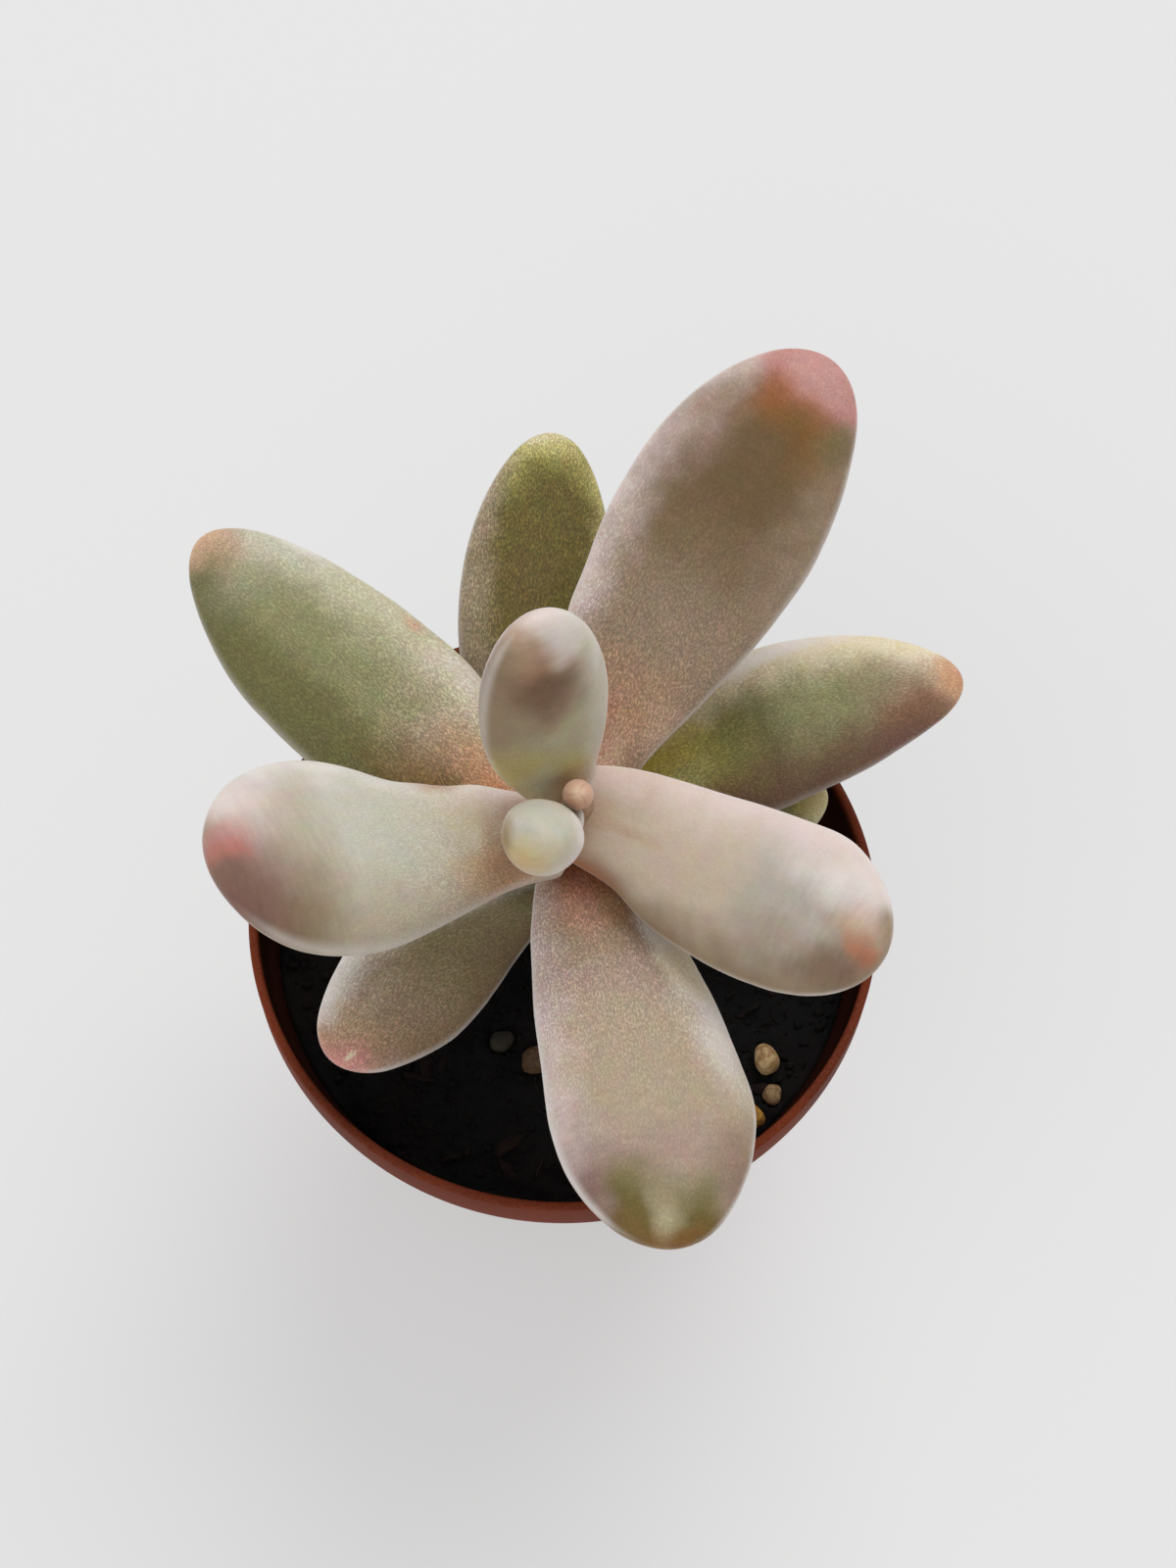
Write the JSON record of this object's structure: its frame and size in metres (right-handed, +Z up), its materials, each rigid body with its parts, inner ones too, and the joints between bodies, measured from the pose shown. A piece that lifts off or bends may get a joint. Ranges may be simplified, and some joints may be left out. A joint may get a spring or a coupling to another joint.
{
  "type": "potted pachyphytum fittkaui",
  "caption": "Young succulent with thick, powdery, spoon-shaped leaves spiralling up a short stem, in dark soil in a small terracotta-coloured nursery pot.",
  "frame": {"origin": "middle of the pot's flat base, on the surface it stands on", "axes": "+Z up along the pot's axis, +X to the right and -Y towards the viewer of the picture"},
  "size_m": [0.1017, 0.1155, 0.1175],
  "materials": {
    "pot": "satin",
    "soil": "matte",
    "grit": "matte",
    "stem": "matte",
    "pale_leaf": "matte",
    "blush_leaf": "matte",
    "green_leaf": "matte"
  },
  "bodies": {
    "root": {"pot": "pot", "soil": "soil", "grit_stone_1": "grit", "grit_stone_2": "grit", "grit_stone_3": "grit", "grit_stone_4": "grit", "grit_stone_5": "grit", "grit_stone_6": "grit", "grit_stone_7": "grit", "grit_stone_8": "grit", "stem": "stem", "growing_tip": "pale_leaf", "leaf_01": "pale_leaf", "leaf_02": "pale_leaf", "leaf_03": "pale_leaf", "leaf_04": "pale_leaf", "leaf_05": "blush_leaf", "leaf_06": "blush_leaf", "leaf_07": "green_leaf", "leaf_08": "green_leaf", "leaf_09": "green_leaf", "leaf_10": "green_leaf", "leaf_11": "green_leaf"}
  },
  "joints": []
}
